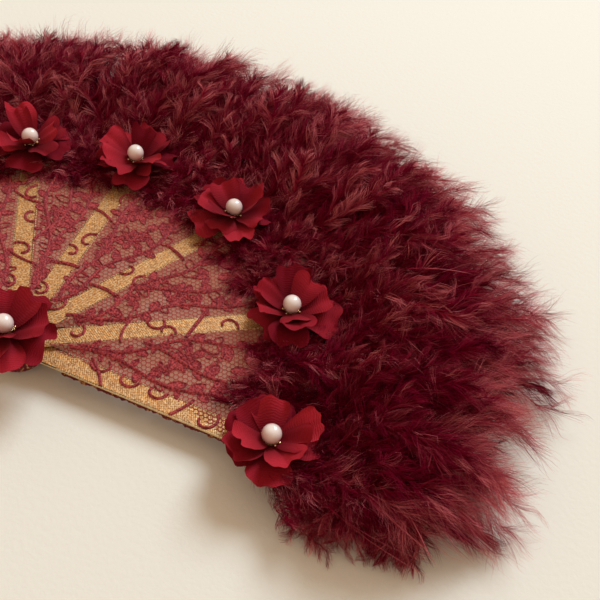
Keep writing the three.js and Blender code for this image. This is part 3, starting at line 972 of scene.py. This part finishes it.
def add_berries(centre, size, count):
    for number in range(count):
        spot = centre + ray(number * 137.5, size * math.sqrt((number + 0.5) / count))
        add_disc(spot, dice.uniform(0.7, 1.25))
        loop = np.linspace(0, 2 * math.pi, 13)
        add_cord(spot + np.stack([np.cos(loop), np.sin(loop)], axis=1) * 1.25, 0.3)


def add_scroll(start, degrees, size, hand, width=0.75, leaves=4):
    turn = np.linspace(0, 4.2, 30)
    heading = math.radians(degrees) + hand * turn
    steps = np.stack([np.cos(heading), np.sin(heading)], axis=1) * (size * (1 - turn / 5.2) / 14)[:, None]
    line = start + np.cumsum(steps, axis=0)
    add_cord(line, width)
    for number in range(3, 3 + 6 * leaves, 6):
        add_leaf(line[number], math.degrees(heading[number]) - hand * 65, size * 0.16, size * 0.08)


# %% Lay the motifs on the leaf
def scatter_spots(panel, taken, tries=500):
    spots = []
    for attempt in range(tries):
        radius = math.sqrt(dice.uniform(20 ** 2, 116 ** 2))
        spot = at(panel, radius, dice.uniform(0.03, 0.97))
        size = (3.8 + 3.2 * radius / 117) * dice.uniform(0.8, 1.25)
        off_gilt = min(abs(off_stick(spot, stick_angles[panel + side])) for side in (0, 1)) > stick_width / 2 + size * 0.4
        off_taken = np.hypot(*(taken - spot).T).min() > size * 1.15
        if off_gilt and off_taken and all(np.hypot(*(spot - other)) > (size + wide) * 0.75 for other, wide in spots):
            spots.append((spot, size))
    return spots


def beside_stick(panel, hand, start, end, offset, swing):
    radius = np.linspace(start, end, 37)
    turn = math.radians(stick_angles[panel] if hand > 0 else stick_angles[panel + 1])
    away = offset + 0.05 * radius + swing * np.sin(radius / dice.uniform(6, 9) + dice.uniform(0, 6))
    angle = turn + hand * np.arcsin(np.minimum(away / radius, 0.9))
    return np.stack([radius * np.cos(angle), radius * np.sin(angle)], axis=1)


def add_spray(centre, size):
    heading = dice.uniform(0, 360)
    count = int(dice.integers(3, 7))
    for number in range(count):
        lean = heading + (number - (count - 1) / 2) * 52
        add_leaf(centre + ray(lean, size * 0.1), lean, size * dice.uniform(0.75, 1.1), size * dice.uniform(0.4, 0.6))


def fill_panel(panel):
    gap = math.radians(stick_angles[panel + 1] - stick_angles[panel])
    first, last = beside_stick(panel, 1, 22, 112, 6.3, 2.2), beside_stick(panel, -1, 26, 104, 6.5, 2.3)
    add_branch(first, 8.0, 4.6, -1)
    add_branch(last, 7.6, 4.8, 1)
    middle = beside_stick(panel, 1, 52, 90, gap * 30, 2.5)
    add_branch(middle, 7.0, 5.2)
    rose, bud = at(panel, 101, 0.52), at(panel, 72, dice.uniform(0.4, 0.6))
    add_rose(rose, 9.5 * gap / 0.52, 6, stick_angles[panel] + 20)
    add_rose(bud, 6.5 * gap / 0.52, 5, stick_angles[panel] + 50)
    add_scroll(at(panel, 56, 0.6), stick_angles[panel] + 70, 20, -1)
    add_scroll(at(panel, 84, 0.25), stick_angles[panel] - 10, 18, 1)
    taken = np.concatenate([first, last, middle, rose + 8 * np.eye(2), rose - 8 * np.eye(2), [rose, bud]])
    for spot, size in scatter_spots(panel, taken):
        kind = dice.uniform(0, 1)
        if kind < 0.3:
            add_rose(spot, size * 0.8, 5, dice.uniform(0, 72))
        elif kind < 0.75:
            add_spray(spot, size)
        else:
            add_berries(spot, size * 0.7, 5)


def cross_stick(index, count=7, start=28, spacing=12.5):
    turn = stick_angles[index]
    for number in range(count):
        along = start + spacing * number + dice.uniform(-4, 4)
        hand = {0: 1, stick_count - 1: -1}.get(index, (-1) ** number)
        if number % 3 == 1:
            across = np.linspace(-4.2 if index == 0 else -6.5, 4.2 if index == stick_count - 1 else 6.5, cord_points)
            slanted = along + across * dice.uniform(-0.9, 0.9) + dice.uniform(-2.5, 2.5) * (across / 7) ** 2
            add_cord(turn_flat(np.stack([slanted, across, 0 * across], axis=1), turn)[:, :2], dice.uniform(1.2, 1.9))
        else:
            foot = turn_flat(np.array([along, 5.2 * hand, 0]), turn)[:2]
            add_scroll(foot, turn - hand * dice.uniform(50, 120), dice.uniform(9, 13), dice.choice([-1, 1]), 1.3, 0)


for panel in range(stick_count - 1):
    fill_panel(panel)
for index in range(stick_count):
    cross_stick(index)
print(len(patches), "patches and", len(cords), "cords")

# %% [markdown]
# ## The lace's finish
# The threads are dyed raspberry. The worked parts are a shade deeper than the net and have a fine
# stitched grain. One material serves both, with noise at the size of a thread for the grain.

# %% Lace material
lace_material, tree, shader = new_material(
    "raspberry_lace", Roughness=0.75, Sheen_Weight=0.15, Sheen_Tint=(1.0, 0.55, 0.6, 1), Specular_IOR_Level=0.25)
stitch, cloudy = grain(tree, 1300, 3), grain(tree, 90, 3)
thread_colour = blend_colours(tree, cloudy, (0.34, 0.026, 0.036, 1), (0.70, 0.115, 0.115, 1))
motif_colour = blend_colours(tree, remap(tree, stitch, 0.42, 0.63), (0.15, 0.006, 0.014, 1), thread_colour)
net_colour = blend_colours(tree, cloudy, (0.25, 0.036, 0.030, 1), (0.46, 0.085, 0.065, 1))
join(tree, blend_colours(tree, amount_of(tree, "worked"), net_colour, motif_colour), shader.inputs["Base Color"])
add_bump(tree, shader, stitch, 0.7, 0.00022)


# %% Turn threads, patches and cords into meshes
def net_mesh(ends):
    ahead = unit(ends[:, 1] - ends[:, 0])
    beside = np.stack([-ahead[:, 1], ahead[:, 0]], axis=1) * thread / 2
    corners = np.stack([ends[:, 0] - beside, ends[:, 0] + beside, ends[:, 1] + beside, ends[:, 1] - beside], axis=1)
    level = leaf_level(corners[..., 0], corners[..., 1])
    points = np.concatenate([corners, level[..., None]], axis=2).reshape(-1, 3)
    return points, np.arange(len(points)).reshape(-1, 4)


def patch_mesh(shapes):
    shapes = np.array(shapes)
    lift = np.full(shapes.shape[:2], 0.06)
    lift[:, 0] = 0.2
    points = np.concatenate([shapes, leaf_level(shapes[..., 0], shapes[..., 1], lift)[..., None]], axis=2)
    ring = np.arange(patch_points)
    fan = np.stack([np.zeros_like(ring), ring + 1, (ring + 1) % patch_points + 1], axis=1)
    offset = (np.arange(len(shapes)) * (patch_points + 1))[:, None, None]
    return points.reshape(-1, 3), (fan[None] + offset).reshape(-1, 3)


def cord_mesh(lines, widths):
    ahead = unit(np.gradient(lines, axis=1))
    beside = np.stack([-ahead[..., 1], ahead[..., 0]], axis=-1) * (widths / 2)[:, None, None]
    flat = np.stack([lines - beside, lines, lines + beside], axis=2)
    lift = np.full(flat.shape[:3], 0.08)
    lift[:, :, 1] = 0.18 + widths[:, None] * 0.6
    points = np.concatenate([flat, leaf_level(flat[..., 0], flat[..., 1], lift)[..., None]], axis=3)
    return points.reshape(-1, 3), grid_faces(lines.shape[1], 3, len(lines))


def pleat_between(piece):
    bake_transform(piece)


def build_lace(panel):
    own_patches = [shape for shape in patches if panel_of(*shape[0]) == panel]
    own_cords = [cord for cord in cords if panel_of(*cord[0].mean(axis=0)) == panel]
    net_points, net_quads = net_mesh(sides[panel_of(*sides.mean(axis=1).T) == panel])
    patch_corners, patch_faces = patch_mesh(own_patches)
    cord_corners, cord_quads = cord_mesh(*(np.array(part) for part in zip(*own_cords)))
    points = np.concatenate([net_points, patch_corners, cord_corners])
    first_patch, first_cord = len(net_points), len(net_points) + len(patch_corners)
    worked = np.repeat([0.0, 1.0], [first_patch, len(points) - first_patch])
    low, high = points[:, :2].min(axis=0), points[:, :2].max(axis=0)
    atlas = (points[:, :2] - low) / (high - low) * 0.98 + 0.01
    atlas[:, 0] = (atlas[:, 0] + worked) / 2
    threads = np.concatenate([net_quads, cord_quads + first_cord])
    lace = new_piece(f"lace_panel_{panel + 1}", points, [threads, patch_faces + first_patch],
                     lace_material, atlas, {"worked": worked})
    pleat_between(lace)
    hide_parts(f"lace_{panel + 1}")
    gap = math.radians(stick_angles[panel + 1] - stick_angles[panel])
    flat_area = gap * (lace_outer ** 2 - lace_inner ** 2) / 2 * mm * mm
    cover = sum(face.area for face in lace.data.polygons) / flat_area
    print(lace.name, len(lace.data.polygons), "faces, thread over panel", round(cover, 2))
    return lace


laces = [build_lace(panel) for panel in range(stick_count - 1)]

# %% [markdown]
# ## Lace leaf: the tulle lining
# Behind the lace is a lining of tulle, a net whose cells are half a millimetre across. Cells that small
# would need millions of ribbons, so the lining is one smooth sheet, and its holes come from the
# material: a cell pattern gives thread where two cells meet and lets most light through elsewhere.
# Its warm tan colour is partly painted shade: it stands for the red-tinted shadow that the lace throws
# on the table seen through the leaf.

# %% Tulle finish and lining
tulle, tree, shader = new_material("rose_tulle_painted_shade", Roughness=0.8, Specular_IOR_Level=0.1)
holes = add_node(tree, "TexVoronoi", feature="DISTANCE_TO_EDGE", Scale=1700.0)
join(tree, add_node(tree, "TexCoord").outputs["Object"], holes.inputs["Vector"])
join(tree, remap(tree, holes.outputs["Distance"], 0, 0.14, 0.8, 0.36), shader.inputs["Alpha"])
# Painted shade: a warm tan colour that tints what is seen through the leaf.
join(tree, blend_colours(tree, grain(tree, 120, 3), (0.58, 0.22, 0.15, 1), (0.78, 0.39, 0.27, 1)), shader.inputs["Base Color"])


def build_lining(panel, rows=36, columns=15):
    radius = np.linspace(lace_inner, lace_outer, rows)[:, None]
    start, end = (math.radians(stick_angles[panel + side]) for side in (0, 1))
    clear = np.minimum(np.arcsin(4.5 / radius), (end - start) * 0.44)
    angle = start + clear + (end - start - 2 * clear) * np.linspace(0, 1, columns)[None]
    x, y = radius * np.cos(angle), radius * np.sin(angle)
    points = np.stack([x, y, leaf_level(x, y, -0.14)], axis=-1).reshape(-1, 3)
    atlas = np.stack(np.meshgrid(np.linspace(0.02, 0.98, columns), np.linspace(0.02, 0.98, rows)), axis=2).reshape(-1, 2)
    lining = new_piece(f"tulle_lining_{panel + 1}", points, [grid_faces(rows, columns)], tulle, atlas)
    pleat_between(lining)
    return lining


linings = [build_lining(panel) for panel in range(stick_count - 1)]
print(len(linings), "linings")

# %% [markdown]
# ## Backing strips
# Under each stick runs a strip of dark red brocade that the leaf is glued to. Its edges are cut by hand,
# so they wander and fray, and a little shows past the gilt.

# %% Backing finish and strips
backing_material, tree, shader = new_material("burgundy_brocade", Roughness=0.85)
pick = grain(tree, 900, 4)
weave_colour = blend_colours(tree, pick, (0.05, 0.002, 0.006, 1), (0.22, 0.012, 0.022, 1))
join(tree, blend_colours(tree, remap(tree, pick, 0.60, 0.64), weave_colour, (0.50, 0.28, 0.09, 1)), shader.inputs["Base Color"])
add_bump(tree, shader, pick, 0.7, 0.0003)


def build_backing(index, start=24, end=118, stations=150):
    dice = np.random.default_rng(90 + index)
    x = np.linspace(start, end, stations)
    knots = np.linspace(start, end, 60)
    fray = [np.interp(x, knots, dice.uniform(-0.5, 0.6, len(knots))) + dice.normal(0, 0.12, stations) for side in (0, 1)]
    across = np.stack([-5.1 - fray[0], -4.3 + 0 * x, 4.3 + 0 * x, 5.1 + fray[1]], axis=1)
    top = np.array([-0.26, -0.06, -0.06, -0.26])
    low = top - np.array([0.25, 0.45, 0.45, 0.25])
    ring = np.concatenate([across, across[:, ::-1]], axis=1)
    level = np.concatenate([top, low[::-1]]) + stick_low(index)
    points = np.stack([np.repeat(x[:, None], 8, axis=1), ring, np.repeat(level[None], stations, axis=0)], axis=-1).reshape(-1, 3)
    row, column = np.meshgrid(np.arange(stations - 1), np.arange(8), indexing="ij")
    first, second = row * 8 + column, row * 8 + (column + 1) % 8
    quads = np.stack([first, second, second + 8, first + 8], axis=-1).reshape(-1, 4)
    caps = np.array([np.arange(8)[::-1], (stations - 1) * 8 + np.arange(8)])
    strip = new_piece(f"brocade_{index + 1}", turn_flat(points, stick_angles[index]), [quads, caps], backing_material)
    strip.data.polygons.foreach_set("use_smooth", np.zeros(len(strip.data.polygons), bool))
    fix_piece(strip, f"rib_{index + 1}", f"backing_{index + 1}")
    return strip


strips = [build_backing(index) for index in range(stick_count)]
print(len(strips), "backing strips")

# %% [markdown]
# ## Fabric flowers
# Each flower is three rings of tongue-shaped petals, cut from crinkled chiffon with a hot knife and
# pinned together through the middle. A petal is a curved sheet: it rises from the pin, folds along its
# middle, waves at its edge, and often has one corner bent down. Every petal gets its own numbers, so no
# two are alike. Folding draws the sides in by as much as it lifts them, so the cloth keeps its size.

# %% Petal finish
petal_material, tree, shader = new_material(
    "crimson_chiffon", Roughness=0.8, Sheen_Weight=0.06, Sheen_Roughness=0.35, Sheen_Tint=(1.0, 0.35, 0.35, 1),
    Specular_IOR_Level=0.08)
along_petal = amount_of(tree, "along")
place = flat_place(tree, amount_of(tree, "across"), along_petal)
crinkle = add_node(tree, "TexWave", bands_direction="Y", Scale=0.36, Distortion=7.0, Detail=4.0)
join(tree, place, crinkle.inputs["Vector"])
cloth = blend_colours(tree, amount_of(tree, "tone"), (0.15, 0.0010, 0.010, 1), (0.54, 0.026, 0.046, 1))
# Painted shade: the petals darken towards the pin, where they overlap.
heart_painted_shade = blend_colours(tree, remap(tree, along_petal, 1, 14), (0.055, 0.0003, 0.003, 1), cloth)
speckle = remap(tree, grain(tree, 2.2, 3, place=place), 0.35, 0.7, 0, 0.4)
dyed = blend_colours(tree, speckle, heart_painted_shade, (0.14, 0.001, 0.008, 1))
# Painted shade in the valleys of the crinkles.
crease_painted_shade = remap(tree, crinkle.outputs["Fac"], 0, 1, 0.12, 0)
join(tree, blend_colours(tree, crease_painted_shade, dyed, (0.10, 0.001, 0.006, 1)), shader.inputs["Base Color"])
add_bump(tree, shader, crinkle.outputs["Fac"], 0.45, 0.00025)


# %% Petals
def petal_ring(dice, petals, length, breadth, cup, fold, turn, low, rows=14, columns=17):
    v = np.linspace(0.04, 1, rows)[:, None]
    u = np.linspace(-1, 1, columns)[None]
    sheets, flats, marks = [], [], []
    for petal in range(petals):
        heading = math.radians(turn + 360 * petal / petals + dice.uniform(-12, 12))
        size = length * dice.uniform(0.86, 1.05) * (1 + 0.025 * np.sin(dice.uniform(7, 12) * u + dice.uniform(0, 6)))
        notch = dice.uniform(-0.07, 0.15) * np.exp(-((u - dice.uniform(-0.3, 0.3)) / 0.22) ** 2) * v ** 4
        reach = size * (v - 0.17 * np.abs(u) ** 3.2 * v ** 3 - notch)
        side = u * breadth / 2 * dice.uniform(0.9, 1.08) * (v ** 0.7 * (1 - 0.16 * v ** 5)) * (1 - 0.16 * np.abs(u) ** 4 * v)
        bend = math.radians(dice.uniform(*fold)) * (0.35 + 0.65 * v) * dice.choice([1, 1, 1, -0.5])
        rise = cup * dice.uniform(0.8, 1.2) * v ** 1.3 + np.abs(side) * np.sin(bend)
        wave = dice.uniform(0.8, 2.1) * np.sin(u * dice.uniform(3.5, 6.5) + dice.uniform(0, 6)) * v ** 2
        lean = dice.uniform(-1.4, 1.4) * u * v
        tip_curl = -dice.uniform(0.2, 2.4) * np.maximum(v - 0.7, 0) / 0.3
        corner = -dice.uniform(1, 14) * np.maximum(dice.choice([-1, 1]) * u - 0.25, 0) * np.maximum(v - 0.55, 0)
        height = low + rise + (wave + lean + tip_curl + corner) * length / 21
        bent = side * np.cos(bend)
        x = reach * math.cos(heading) - bent * math.sin(heading)
        y = reach * math.sin(heading) + bent * math.cos(heading)
        sheets.append(np.stack([x, y, np.maximum(height, low - 0.3)], axis=-1))
        flats.append(np.stack([reach, side, 0 * reach], axis=-1))
        marks.append(np.stack([side, reach, np.full_like(reach, dice.uniform(0, 1))], axis=-1))
    return np.array(sheets), np.array(flats), np.array(marks)


def build_petals(name, node, rings, centre, turn, body, index):
    sheets, flats, marks = (np.concatenate(part) for part in zip(*rings))
    count, rows, columns, _ = sheets.shape
    points = turn_flat(sheets.reshape(-1, 3), turn) + np.array(centre)
    cell_column, cell_row = (part[:, None, None] for part in (np.arange(count) % 4, np.arange(count) // 4))
    u, v = np.meshgrid(np.linspace(0.02, 0.98, columns), np.linspace(0.02, 0.98, rows))
    atlas = np.stack([(u + cell_column) / 4, (v + cell_row) / 4], axis=-1).reshape(-1, 2)
    values = dict(zip(("across", "along", "tone"), marks.reshape(-1, 3).T))
    petals = new_piece(name, points, [grid_faces(rows, columns, count)], petal_material, atlas, values)
    fix_piece(petals, body, node)
    if index is not None:
        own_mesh(petals)
    return petals


# %% [markdown]
# ## Pearls
# An imitation pearl is a glossy ball with a soft, slightly pink lustre, pressed into a tiny gold cup.
# It is turned from an outline with a small dimple where the pin enters, not a perfect sphere.

# %% Pearl and bead finishes
pearl_material, tree, shader = new_material(
    "nacre", Roughness=0.28, Coat_Weight=0.9, Coat_Roughness=0.12, Sheen_Weight=0.15, Sheen_Tint=(1.0, 0.75, 0.75, 1))
body = blend_colours(tree, grain(tree, 160, 2), (0.92, 0.83, 0.80, 1), (0.95, 0.90, 0.88, 1))
# Painted lustre and shade: the colour darkens and turns pinker towards the outline, where the ball turns away from the
# eye.
rim = add_node(tree, "LayerWeight", Blend=0.22)
join(tree, blend_colours(tree, rim.outputs["Facing"], body, (0.58, 0.36, 0.33, 1)), shader.inputs["Base Color"])

setting_material, tree, shader = new_material("gold_setting", Metallic=1.0, Roughness=0.25)
join(tree, blend_colours(tree, grain(tree, 700, 2), (0.75, 0.48, 0.20, 1), (1.0, 0.83, 0.55, 1)), shader.inputs["Base Color"])


# %% Turned beads
def turned(outline, sides):
    outline = np.array(outline)
    turn = np.linspace(0, 2 * math.pi, sides + 1)
    points = np.stack([outline[:, :1] * np.cos(turn), outline[:, :1] * np.sin(turn), outline[:, 1:] + 0 * turn[None]], axis=-1)
    return points.reshape(-1, 3), grid_faces(len(outline), sides + 1)


def ball_outline(radius, dimple, steps):
    arc = np.linspace(-math.pi / 2, math.pi / 2, steps)
    dent = dimple * np.exp(-((math.pi / 2 - np.abs(arc)) / 0.25) ** 2)
    return np.stack([np.maximum((radius - dent) * np.cos(arc), 0.0), (radius - dent) * np.sin(arc)], axis=1)


def build_pearl(label, centre, body, dice):
    ball, ball_quads = turned(ball_outline(4, 0.25, 19), 32)
    pearl = new_piece(f"pearl_bead_{label}", ball + np.array(centre), [ball_quads], pearl_material)
    fix_piece(pearl, body, f"pearl_{label}")
    bead, bead_quads = turned(ball_outline(0.62, 0.1, 7), 9)
    cup, cup_quads = turned([[1.2, -4.3], [2.6, -3.6], [3.3, -2.7], [3.45, -2.6], [3.3, -2.9], [2.2, -4.3], [1.2, -4.4]], 24)
    spots = [ray(angle, 4.0) for angle in np.arange(0, 360, 45) + dice.uniform(-14, 14, 8)]
    beads = [bead * dice.uniform(0.75, 1.15) + np.array([*spot, -2.9 + dice.uniform(-0.4, 0.5)]) for spot in spots]
    points = np.concatenate([cup] + beads) + np.array(centre)
    quads = np.concatenate([cup_quads] + [bead_quads + len(cup) + len(bead) * number for number in range(len(beads))])
    setting = new_piece(f"gold_setting_{label}", points, [quads], setting_material)
    fix_piece(setting, body)
    return pearl


# %% Assemble the flowers
def build_flower(label, centre, turn, body, index, size=1.0):
    dice = np.random.default_rng(300 + (index if index is not None else 50))
    lower = [petal_ring(dice, 5, flower_radius * size, 27, 3.2, (8, 32), 10, 0.5),
             petal_ring(dice, 4, 18.5 * size, 25, 8.4, (16, 42), 44, 1.0)]
    upper = [petal_ring(dice, 3, 15.0, 21, 9.6, (20, 42), 0, 1.8)]
    build_petals(f"lower_petals_{label}", f"petals_low_{label}", lower, centre, turn, body, index)
    build_petals(f"upper_petals_{label}", f"petals_top_{label}", upper, centre, turn, body, index)
    build_pearl(label, (centre[0], centre[1], centre[2] + 6.2), body, dice)


for index, angle in enumerate(stick_angles):
    build_flower(index + 1, (*ray(angle, flower_ring), flower_seat(index)), angle + 40 * index, f"rib_{index + 1}", index)
hub_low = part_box("petals_low_hub")[0].z / mm
build_flower("hub", (*ray(hub_flower_turn, hub_flower_shift), hub_low), 65, "rib_1", None, 1.07)
print(stick_count + 1, "flowers, the hub's at", round(hub_low, 1), "mm")

# %% [markdown]
# ## Rivet and covered button
# The rivet, its washer and its cap are nickel-plated and mostly hidden by the hub flower, so the solids
# stay and only get a finish. The button behind the fan is covered in the same brocade as the strips.

# %% Rivet and button finishes
nickel, tree, shader = new_material("nickel_plate", Metallic=1.0)
scuffs = grain(tree, 1500, 3)
join(tree, remap(tree, scuffs, 0, 1, 0.22, 0.5), shader.inputs["Roughness"])
join(tree, blend_colours(tree, scuffs, (0.50, 0.46, 0.40, 1), (0.72, 0.68, 0.60, 1)), shader.inputs["Base Color"])
for label in ("pivot_rivet", "front_washer", "rivet_cap", "back_button"):
    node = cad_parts[label]
    node.data.materials.clear()
    node.data.materials.append(backing_material if label == "back_button" else nickel)
print("rivet and button finished")
